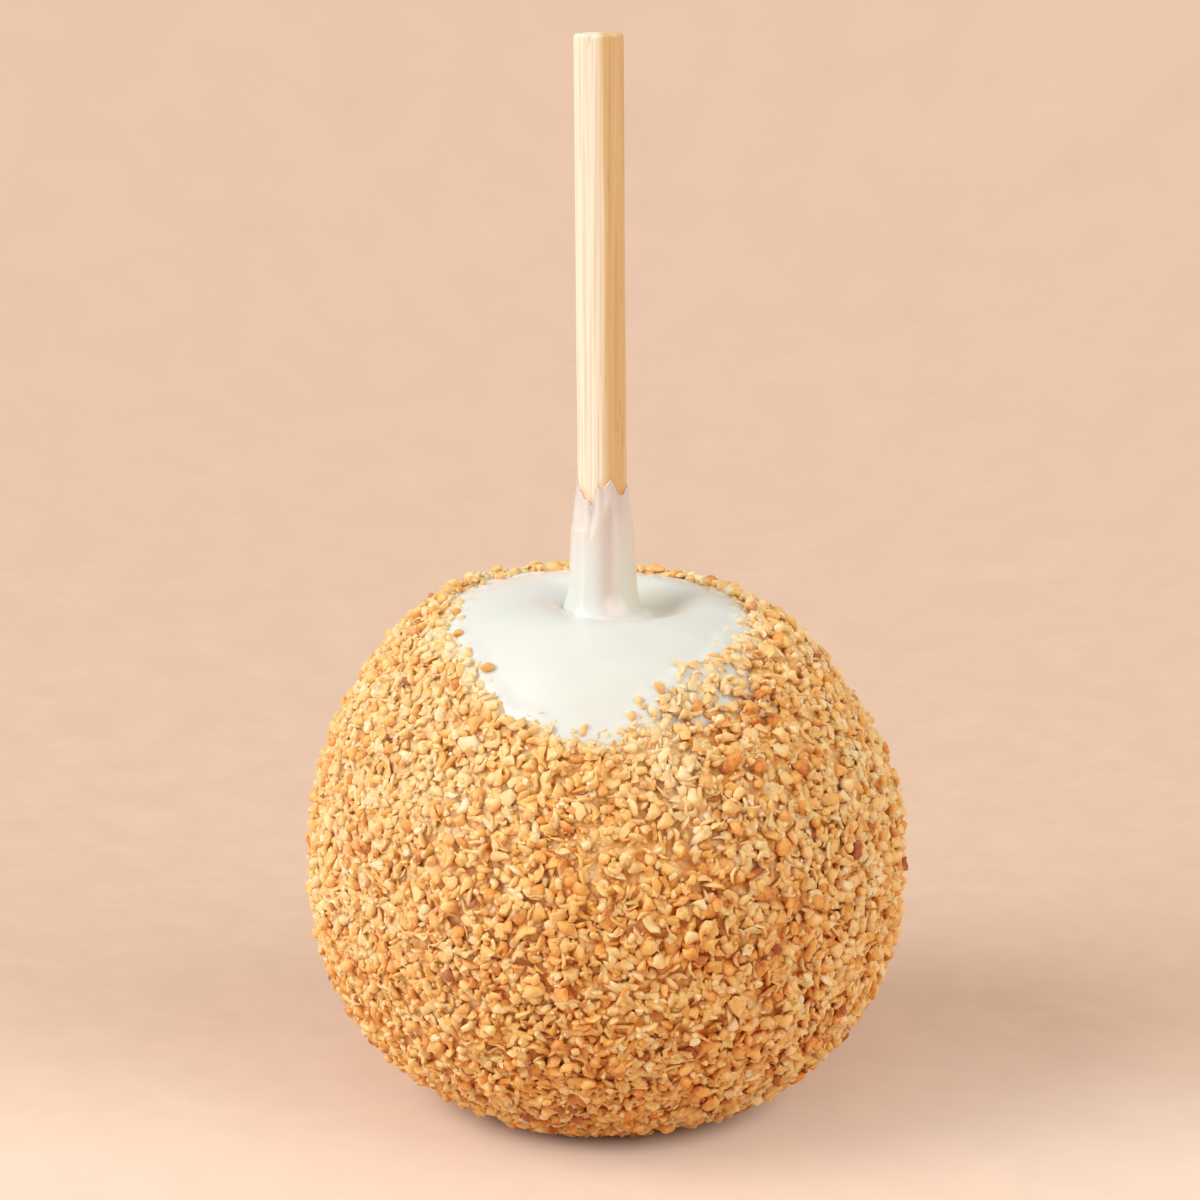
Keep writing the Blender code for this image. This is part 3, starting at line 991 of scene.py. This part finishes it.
def ball(kind):
    """(unit points, triangles, a map for one copy) of a small round mesh."""
    shell = bmesh.new()
    if kind == "rod":
        rod_mesh(shell)
    elif kind == "cube":
        bmesh.ops.create_cube(shell, size=2)
        bmesh.ops.subdivide_edges(shell, edges=shell.edges, cuts=1, use_grid_fill=True)
    else:
        level = {"coarse": 1, "fine": 2}[kind]
        bmesh.ops.create_icosphere(shell, subdivisions=level, radius=1)
    bmesh.ops.triangulate(shell, faces=shell.faces)
    shell.verts.index_update()
    points = unit(np.array([vert.co for vert in shell.verts]))
    faces = np.array([[vert.index for vert in face.verts] for face in shell.faces])
    shell.free()
    corners = points[faces]
    upper = np.where(corners.mean(1)[:, 2:] >= 0, 1.0, -1.0)
    away = np.arccos(np.clip(corners[..., 2] * upper, -1, 1)) / (0.8 * math.pi)
    flat = corners[..., :2] / np.maximum(np.linalg.norm(corners[..., :2], axis=-1, keepdims=True), 1e-9)
    place = 0.5 + 0.5 * flat * away[..., None]
    place[..., 0] = place[..., 0] * 0.5 + np.where(upper > 0, 0, 0.5)
    return points, faces, 0.04 + 0.92 * place


BALLS = {kind: ball(kind) for kind in ("coarse", "rod", "cube", "fine")}
print({kind: len(faces) for kind, (_, faces, _) in BALLS.items()}, "triangles a copy")

# %% Shape and turn a crowd of bits


def knobbly(points, rng, count, lobes, cuts):
    """(count, points, 3) knobbly copies of a ball, and how freshly broken each point is."""
    grown = np.ones((count, len(points)))
    for lobe in range(lobes):
        way = unit(rng.normal(size=(count, 1, 3)))
        facing = np.clip((points * way).sum(-1), 0, 1)
        dent = rng.random((count, 1)) < 0.3
        grown += np.where(dent, -0.3 * facing**6, rng.uniform(0.15, 0.6, (count, 1)) * facing**4)
    shapes = points * np.minimum(grown, 1.5)[..., None]
    broken = np.zeros(grown.shape)
    for cut in range(cuts):
        way = unit(rng.normal(size=(count, 1, 3)))
        over = (shapes * way).sum(-1) - rng.uniform(0.4, 0.8, (count, 1))
        over = np.clip(over, 0, None)
        shapes = shapes - over[..., None] * way
        broken = np.maximum(broken, np.clip(over * 5, 0, 1))
    return shapes, broken


def curled(shapes, half, rng, bend):
    """The shapes made uneven along their length, then bent once or twice."""
    along = shapes[..., 0] / half[:, None]
    swell = 1 + bell(rng, 0.2, (len(half), 1)) * along
    swell = swell + 0.18 * np.cos(rng.uniform(2, 5, (len(half), 1)) * along
                                  + rng.uniform(0, TAU, (len(half), 1)))
    shapes[..., 1:] *= swell[..., None]
    for axis in (1, 2):
        once, twice = bell(rng, bend, (2, len(half), 1))
        shapes[..., axis] += half[:, None] * (once * along**2 + 0.6 * twice * along**3)
    return shapes


def turns(spin, tilt):
    """(count, 3, 3) rotations: tilted about X, then spun about Z."""
    c, s, ct, st = np.cos(spin), np.sin(spin), np.cos(tilt), np.sin(tilt)
    zero = np.zeros_like(c)
    return np.stack([np.stack([c, -s * ct, s * st], -1), np.stack([s, c * ct, -c * st], -1),
                     np.stack([zero, st, ct], -1)], -2)


def stand_on_coat(shapes, azimuth, arc, lift):
    """Moves each shape to its place, with its Z along the coating's outward direction."""
    normal = outward(azimuth, arc)
    side = np.stack([np.cos(azimuth), np.sin(azimuth), 0 * azimuth], -1)
    up = np.cross(normal, side)
    frame_axes = np.stack([side, up, normal], 1)
    return over_coat(azimuth, arc, lift)[:, None, :] + np.einsum("nti,nij->ntj", shapes, frame_axes)


# %% [markdown]
# ## Piling the bits
#
# The bits lie on each other, so they go on in order, the largest first. Each crowd asks how high
# the pile already is at its place, and settles part-way into it. At the thin edge of the layer a
# bit is sunk into the coating, because it was pressed into it while soft, and a film of coating
# covers it. A bit that would reach past the layer's outer limit is pushed in until it fits.

# %% The pile


class Pile:
    """The bits laid so far: where each one is, how far it reaches and how high its top is."""

    def __init__(self):
        self.spots, self.reach, self.tops = [], [], []

    def add(self, spots, reach, tops):
        self.spots += spots.tolist()
        self.reach += reach.tolist()
        self.tops += tops.tolist()

    def height(self, spots):
        finder = kdtree.KDTree(len(self.spots))
        for index, spot in enumerate(self.spots):
            finder.insert(spot, index)
        finder.balance()
        furthest = max(self.reach, default=0)
        heights = np.zeros(len(spots))
        for index, spot in enumerate(spots):
            for _, other, distance in finder.find_range(spot, furthest):
                share = 1 - (distance / self.reach[other]) ** 2
                if share > 0:
                    heights[index] = max(heights[index], self.tops[other] * math.sqrt(share))
        return heights


def push_inside(points):
    """Moves each bit in until no part of it is outside the CAD layer's box or below the floor."""
    low, high = (np.array(corner)[:2] for corner in NUT_BOX)
    margin = 0.02 * MM
    over = np.clip(points[..., :2].max(1) - (high - margin), 0, None)
    under = np.clip((low + margin) - points[..., :2].min(1), 0, None)
    points[..., :2] += (under - over)[:, None, :]
    points[..., 2] = np.maximum(points[..., 2], 0)
    return points


# %% One crowd of bits
pile = Pile()
CUT_ANGLE = math.radians(48)  # edges sharper than this stay sharp
DARK_SHARE = 0.05  # of the bits, which are well toasted


def atlas(one_map, count):
    """A map for each copy, every one in its own square."""
    side = math.ceil(math.sqrt(count))
    index = np.arange(count)
    corner = np.stack([index % side, index // side], -1)[:, None, None, :]
    return ((one_map[None] + corner) / side).reshape(-1, *one_map.shape[1:])


def lay_crowd(name, azimuth, arc, kind="cube", length=(0.6, 0.9), width=(0.65, 0.95),
              thickness=(0.5, 0.8), bend=0.0, tilt=35, lobes=3, cuts=2, settle=0.55,
              toast_shift=0.0, toast_spread=0.14, dark=DARK_SHARE, veil=(0.2, 0.9), sink=0.02,
              reach=(1.6, 2.45)):
    """Lays bits at these places. length is a range of half lengths in millimetres; width and
    thickness are ranges of shares of it, bend is a share of it and tilt is in degrees. Their tops
    reach no further over the coating than a length in the range reach. At the border, veil is a
    range of how much coating covers them, and their middles are sink over it."""
    rng = dice(name)
    count = len(azimuth)
    points, faces, one_map = BALLS[kind]
    shapes, broken = knobbly(points, rng, count, lobes, cuts)
    share = nut_share(azimuth, arc)
    film = coating_film(azimuth, arc)
    thin = thin_side(azimuth)
    half = rng.uniform(*length, count) * MM * (1 - 0.28 * film * (1 - thin)) * size_at(azimuth)
    sides = np.stack([half, half * rng.uniform(*width, count),
                      half * rng.uniform(*thickness, count)], -1)
    shapes = shapes * sides[:, None, :]
    shapes = curled(shapes, half, rng, bend)
    turn = turns(rng.uniform(0, TAU, count), np.radians(bell(rng, tilt, count)))
    shapes = np.einsum("nij,ntj->nti", turn, shapes)
    top, low = shapes[..., 2].max(1), -shapes[..., 2].min(1)
    spots = over_coat(azimuth, arc)
    base = bed_lift(azimuth, arc) + 0.5 * DOME_RISE * share
    lift = np.maximum(base, pile.height(spots) * 0.9) + low * settle
    sunk = np.maximum(base, 0) + bell(rng, 0.15 * MM, count) + (sink + 0.2 * thin) * MM
    behind = smooth(math.radians(100), math.radians(140), np.abs(wrapped(azimuth)))
    limit = rng.uniform(*reach, count) * MM * (1 - 0.22 * behind)
    lift = np.minimum(lift + (sunk - lift) * film, limit - top)
    points = push_inside(stand_on_coat(shapes, azimuth, arc, lift))
    pile.add(spots, np.sqrt(sides[:, 0] * sides[:, 1]) * 1.05, lift + top)
    toast = toast_light_and_shade_at(azimuth, arc) + toast_shift + bell(rng, toast_spread, count)
    toast = toast + 0.3 * (rng.random(count) < dark)
    toast = toast[:, None] + 0.16 * (shapes * unit(rng.normal(size=(count, 1, 3)))).sum(-1) / half[:, None]
    toast = toast - 0.12 * broken
    coated = np.maximum(film, 0.2 * left_film(azimuth, arc)) * rng.uniform(*veil, count)
    coated = np.broadcast_to(coated[:, None], toast.shape)
    values = np.stack([toast, coated, 0 * toast], -1).reshape(-1, 3)
    index = (faces[None] + (np.arange(count) * len(BALLS[kind][0]))[:, None, None])
    piece = mesh_piece(name, points.reshape(-1, 3), index.reshape(-1, faces.shape[1]),
                       atlas(one_map, count), values)
    if cuts:
        piece.data.set_sharp_from_angle(angle=CUT_ANGLE)
    piece.data.materials.append(NUTS)
    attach(piece, "root")
    return piece


# %% [markdown]
# ## The crowds
#
# A handful of chopped nuts holds chunks, middling and small bits, long slivers, thin curved
# flakes, round knobs and crumbs. Each is a piece of its own here, with its number, its smallest gap
# and its shape. The slivers and flakes lie mostly in front, and the knobs stand out on the sides.

# %% Lay the crowds
CROWDS = {
    "nut_chunks": dict(count=700, gap=2.3, power=3, shape=dict(
        kind="fine", length=(0.95, 1.35), width=(0.55, 0.85), thickness=(0.45, 0.7), bend=0.15,
        tilt=25, lobes=5, cuts=5, toast_shift=0.06)),
    "nut_bits": dict(count=4160, gap=1.1, power=1.5, shape=dict(
        length=(0.7, 1.1), width=(0.55, 0.9), thickness=(0.45, 0.8), bend=0.15, cuts=3,
        settle=0.5)),
    "nut_curls": dict(count=3000, gap=1.05, power=2, middle=0.5, shape=dict(
        kind="rod", length=(0.9, 1.5), width=(0.36, 0.52), thickness=(0.3, 0.45), bend=0.4,
        tilt=30, cuts=1, settle=0.3, toast_shift=-0.03)),
    "nut_flakes": dict(count=2800, gap=1.15, power=2, middle=0.6, shape=dict(
        length=(0.85, 1.45), width=(0.5, 0.85), thickness=(0.16, 0.26), bend=0.35, tilt=60,
        lobes=4, cuts=0, settle=0.3, reach=(1.8, 2.6))),
    "nut_small_bits": dict(count=3600, gap=0.9, power=1, shape=dict(
        length=(0.42, 0.68), width=(0.6, 1.0), thickness=(0.55, 0.9), bend=0.1, settle=0.3,
        toast_shift=-0.05)),
    "nut_knobs": dict(count=1150, gap=1.9, power=2, sides=0.9, shape=dict(
        kind="fine", length=(0.7, 1.1), width=(0.65, 0.95), thickness=(0.6, 0.9), bend=0.15,
        lobes=5, cuts=1, settle=0.8, toast_shift=0.1, reach=(2.1, 2.8))),
    "nut_crumbs": dict(count=2500, gap=0.7, power=0.8, shape=dict(
        kind="coarse", length=(0.2, 0.36), width=(0.7, 1.0), thickness=(0.6, 1.0), settle=0.4,
        lobes=2, cuts=1, toast_shift=-0.1)),
    "nut_skins": dict(count=60, gap=4.0, power=2, shape=dict(
        length=(0.8, 1.2), width=(0.35, 0.6), thickness=(0.14, 0.2), bend=0.4, tilt=50,
        cuts=0, settle=0.6, toast_shift=0.6)),
}

for name, crowd in CROWDS.items():
    places = scatter(dice(name + " places"), crowd["count"], crowd["gap"] * MM, crowd["power"],
                     crowd.get("middle", 0.0), crowd.get("sides", 0.0))
    lay_crowd(name, *places, **crowd["shape"])

# %% [markdown]
# ## Strays
#
# A few bits catch the eye because they lie alone or are larger than the rest: toasted ones that
# stuck in the bare pool, some on the skyline, a big one on the right and a fleck of dark skin.
# Each is given by its place, its half length, its width as a share of that, and how much more
# toasted it is than the nuts round it.

# %% Lay the strays
STRAYS = (  # degrees, millimetres along the outline, half length in millimetres, width, toast
    (-37, 26.2, 1.5, 0.8, 0.3), (-58, 23.0, 1.3, 0.75, 0.3), (-73, 20.6, 1.25, 0.8, 0.3),
    (-47, 24.6, 0.8, 0.8, 0.1), (8, 29.2, 0.75, 0.7, -0.1),
    (6, 31.2, 0.85, 0.8, 0.0), (12, 31.0, 0.8, 0.7, -0.1), (15, 29.6, 0.8, 0.5, 0.0),
    (24, 30.6, 1.0, 0.7, 0.3), (33, 27.0, 0.7, 0.8, 0.0), (41, 24.6, 0.7, 0.8, 0.1),
    (19, 31.8, 0.9, 0.6, -0.1), (29, 33.6, 0.85, 0.9, 0.3), (27, 38.9, 1.8, 0.62, 0.52),
    (88, 60.0, 1.6, 0.8, 0.3), (-128, 18.6, 1.4, 0.8, 0.3), (160, 18.4, 1.0, 0.8, 0.3),
    (130, 19.4, 1.2, 0.8, 0.35), (100, 24.0, 1.2, 0.8, 0.3))
stray_azimuth, stray_arc, stray_half, stray_width, stray_toast = np.array(STRAYS).T
lay_crowd("nut_strays", np.radians(stray_azimuth), stray_arc * MM, kind="fine",
          length=(stray_half, stray_half), width=(stray_width, stray_width),
          toast_shift=stray_toast, toast_spread=0.0, dark=0.0, veil=(0.0, 0.15), sink=0.4,
          tilt=15, reach=(2.4, 2.7))

# %% [markdown]
# ## Painted shade by depth in the pile
#
# A nut down in a gap gets less light, so it's painted darker and more golden: painted shade. How
# deep a point lies isn't known until the whole pile is laid. Then a relief map is made: the highest
# point in each cell of a grid of azimuth and elevation as seen from inside the apple, spread a
# little. Each point's third value is the painted shade for how far below that map it lies, halved
# above the widest ring and less where coating covers the nut.

# %% Shade every nut by its depth
MAP_ROWS = 260
MAP_COLUMNS = 480
FULL_SHADE_DEPTH = 1.7 * MM


def in_map(points):
    """(row, column, height over the coating) of each point."""
    rise = points[:, 2] - WIDEST_HEIGHT
    out = np.hypot(points[:, 0], points[:, 1])
    elevation = np.arctan2(rise, out)
    bare = outline_arc > DIMPLE_RADIUS
    coat_elevation = np.arctan2(outline_z - WIDEST_HEIGHT, outline_r)[bare][::-1]
    coat_far = np.hypot(outline_z - WIDEST_HEIGHT, outline_r)[bare][::-1]
    height = np.hypot(rise, out) - np.interp(elevation, coat_elevation, coat_far)
    row = np.clip((elevation / math.pi + 0.5) * MAP_ROWS, 0, MAP_ROWS - 1).astype(int)
    azimuth = np.arctan2(points[:, 0], -points[:, 1])
    return row, ((azimuth / TAU + 0.5) * MAP_COLUMNS).astype(int) % MAP_COLUMNS, height


def neighbours(relief):
    """The nine maps shifted by one cell or none each way."""
    padded = np.pad(relief, ((1, 1), (0, 0)), mode="edge")
    rows = [padded[k:k + MAP_ROWS] for k in range(3)]
    return np.array([np.roll(row, step, axis=1) for row in rows for step in (-1, 0, 1)])


def shade_by_depth(pieces):
    points = []
    for piece in pieces:
        flat = np.empty(3 * len(piece.data.vertices), np.float32)
        piece.data.vertices.foreach_get("co", flat)
        points.append(in_map(flat.reshape(-1, 3).astype(float)))
    relief = np.full((MAP_ROWS, MAP_COLUMNS), -1 * MM)
    for row, column, height in points:
        np.maximum.at(relief, (row, column), height)
    relief = neighbours(neighbours(neighbours(relief).max(0)).mean(0)).mean(0)
    for piece, (row, column, height) in zip(pieces, points):
        store = piece.data.attributes["tint"].data
        values = np.empty(4 * len(height), np.float32)
        store.foreach_get("color", values)
        values = values.reshape(-1, 4)
        # Painted shade: darker the further a point lies below the relief map, halved above the widest ring
        # and less where coating covers the nut.
        deep = smooth(0.3 * MM, FULL_SHADE_DEPTH, relief[row, column] - height)
        deep = deep * (1 - 0.5 * smooth(0.45, 0.65, row / MAP_ROWS))
        values[:, 2] = deep * (1 - 0.7 * values[:, 1])
        store.foreach_set("color", values.ravel())
        print(f"{piece.name}: mean depth {deep.mean():.2f}")


shade_by_depth([bed] + [bpy.data.objects[name] for name in (*CROWDS, "nut_strays")])

# %% [markdown]
# ## Floor, light and camera
#
# The floor is plain pale card, bent up into a wall all the way round, so that every view has the
# same background and no view is blocked. The card itself glows a little, most of all in front:
# painted light, which keeps its shadows pale. One large soft light stands to the left, a weaker
# one to the right, and a pale sky fills the shadows. No light is itself seen by the camera.

# %% Floor
FLOOR_RADIUS = 6.0
WALL_BEND = 0.8
WALL_HEIGHT = 1.3
CLOUD_CENTRE = (0, 0, 0.16)  # faint clouds look equally coarse near and far from here
CLOUD_COUNT = 30.0
# Painted light: how much the card glows all over and in front.
GLOW_ALL = 0.2
GLOW_FRONT = 0.23
GLOW_COLOUR = tone(214, 206, 192)
CONTACT_RADIUS = 17.5 * MM
GLOW_CAST = 0.4  # the share of it that lights the nuts
GLOW_START = 40 * MM
GLOW_FULL = -34 * MM


def card_material():
    material, tree, shader = new_material("pale card")
    grain = use_group(tree, UNEVENNESS, Broad_size=9.0, Fine_size=120.0)["Fine"]
    over = add_node(tree, "VectorMath", {"operation": "SUBTRACT"}, Vector=object_place(tree))
    over.inputs[1].default_value = CLOUD_CENTRE
    way = add_node(tree, "VectorMath", {"operation": "NORMALIZE"}, Vector=over.outputs[0]).outputs[0]
    clouds = noise_node(tree, way, CLOUD_COUNT, 2.0)
    cloudy = calculate(tree, "MULTIPLY_ADD", grain, 0.4, calculate(tree, "MULTIPLY", clouds, 0.6))
    card = ramp(tree, cloudy, [(0.35, tone(205, 175, 152)), (0.65, tone(210, 180, 156))])
    fill(tree, shader.inputs["Base Color"], card)
    # Painted light: the card glows, more in front of the apple and not round its foot, and lights the nuts
    # with only part of it.
    along = add_node(tree, "SeparateXYZ", Vector=object_place(tree)).outputs["Y"]
    front = between(tree, along, GLOW_START, GLOW_FULL)
    fill(tree, shader.inputs["Emission Color"], mix_colours(tree, front, card, GLOW_COLOUR))
    away = add_node(tree, "VectorMath", {"operation": "LENGTH"}, Vector=object_place(tree))
    foot = between(tree, away.outputs["Value"], CONTACT_RADIUS, CONTACT_RADIUS + 8 * MM)
    glow = calculate(tree, "MULTIPLY_ADD", front, GLOW_FRONT, GLOW_ALL)
    seen = add_node(tree, "LightPath").outputs["Is Camera Ray"]
    seen = calculate(tree, "MULTIPLY_ADD", seen, 1 - GLOW_CAST, GLOW_CAST)
    glow = calculate(tree, "MULTIPLY", glow, calculate(tree, "MULTIPLY", foot, seen))
    fill(tree, shader.inputs["Emission Strength"], glow)
    shader.inputs["Roughness"].default_value = 0.8
    shader.inputs["Specular IOR Level"].default_value = 0.2
    return material


def build_floor():
    bend = np.linspace(-math.pi / 2, 0, 16)
    radii = np.concatenate([[0.01, 0.5, 2.0], FLOOR_RADIUS + WALL_BEND * np.cos(bend),
                            [FLOOR_RADIUS + WALL_BEND]])
    heights = np.concatenate([[0] * 3, WALL_BEND * (1 + np.sin(bend)), [WALL_HEIGHT]])
    azimuth = np.arange(96) / 96 * TAU
    grid = around(radii[:, None], azimuth[None, :], heights[:, None] - 0.02 * MM)
    mesh = bpy.data.meshes.new("floor")
    steps = len(azimuth)
    faces = [(ring * steps + step, ring * steps + (step + 1) % steps,
              (ring + 1) * steps + (step + 1) % steps, (ring + 1) * steps + step)
             for ring in range(len(radii) - 1) for step in range(steps)]
    mesh.from_pydata(grid.reshape(-1, 3).tolist(), [], faces + [tuple(reversed(range(steps)))])
    mesh.shade_smooth()
    floor = bpy.data.objects.new("floor", mesh)
    bpy.context.scene.collection.objects.link(floor)
    mesh.materials.append(card_material())


build_floor()

# %% Light
AIM = Vector((0, 0, 55 * MM))


def add_light(name, kind, azimuth, elevation, strength, size, colour):
    """A soft light that shines at the object from this azimuth and elevation, in degrees."""
    turn, rise = math.radians(azimuth), math.radians(elevation)
    way = Vector((math.sin(turn) * math.cos(rise), -math.cos(turn) * math.cos(rise), math.sin(rise)))
    data = bpy.data.lights.new(name, kind)
    data.energy, data.color = strength, colour
    if kind == "SUN":
        data.angle = size
    else:
        data.shape = "RECTANGLE"
        data.size, data.size_y = size
    light = bpy.data.objects.new(name, data)
    light.location = AIM + way * STRIP_DISTANCE
    light.rotation_euler = way.to_track_quat("Z", "Y").to_euler()
    light.visible_camera = False
    bpy.context.scene.collection.objects.link(light)


STRIP_DISTANCE = 0.26
add_light("key", "SUN", -70, 38, 1.82, math.radians(38), (1.0, 1.0, 1.04))
add_light("second", "SUN", 60, 35, 0.9, math.radians(40), (1.0, 0.92, 0.82))
add_light("strip", "AREA", -62, 18, 0.1, (0.05, 0.28), (1.0, 1.0, 1.0))

world = bpy.data.worlds.new("pale sky")
world.use_nodes = True
background = world.node_tree.nodes["Background"]
background.inputs["Color"].default_value = tone(254, 251, 248)
background.inputs["Strength"].default_value = 0.6
bpy.context.scene.world = world
bpy.context.scene.view_settings.view_transform = "Standard"
bpy.context.scene.view_settings.look = "None"

# %% Camera
CAMERA_PLACE = (-0.87 * MM, -385 * MM, 162 * MM)
CAMERA_TILT = math.radians(13.7)

camera = bpy.data.objects.new("camera", bpy.data.cameras.new("camera"))
camera.data.sensor_width = 36
camera.data.lens = 90
camera.data.clip_start = 0.01
camera.location = CAMERA_PLACE
camera.rotation_euler = (math.pi / 2 - CAMERA_TILT, 0, 0)
bpy.context.scene.collection.objects.link(camera)
bpy.context.scene.camera = camera
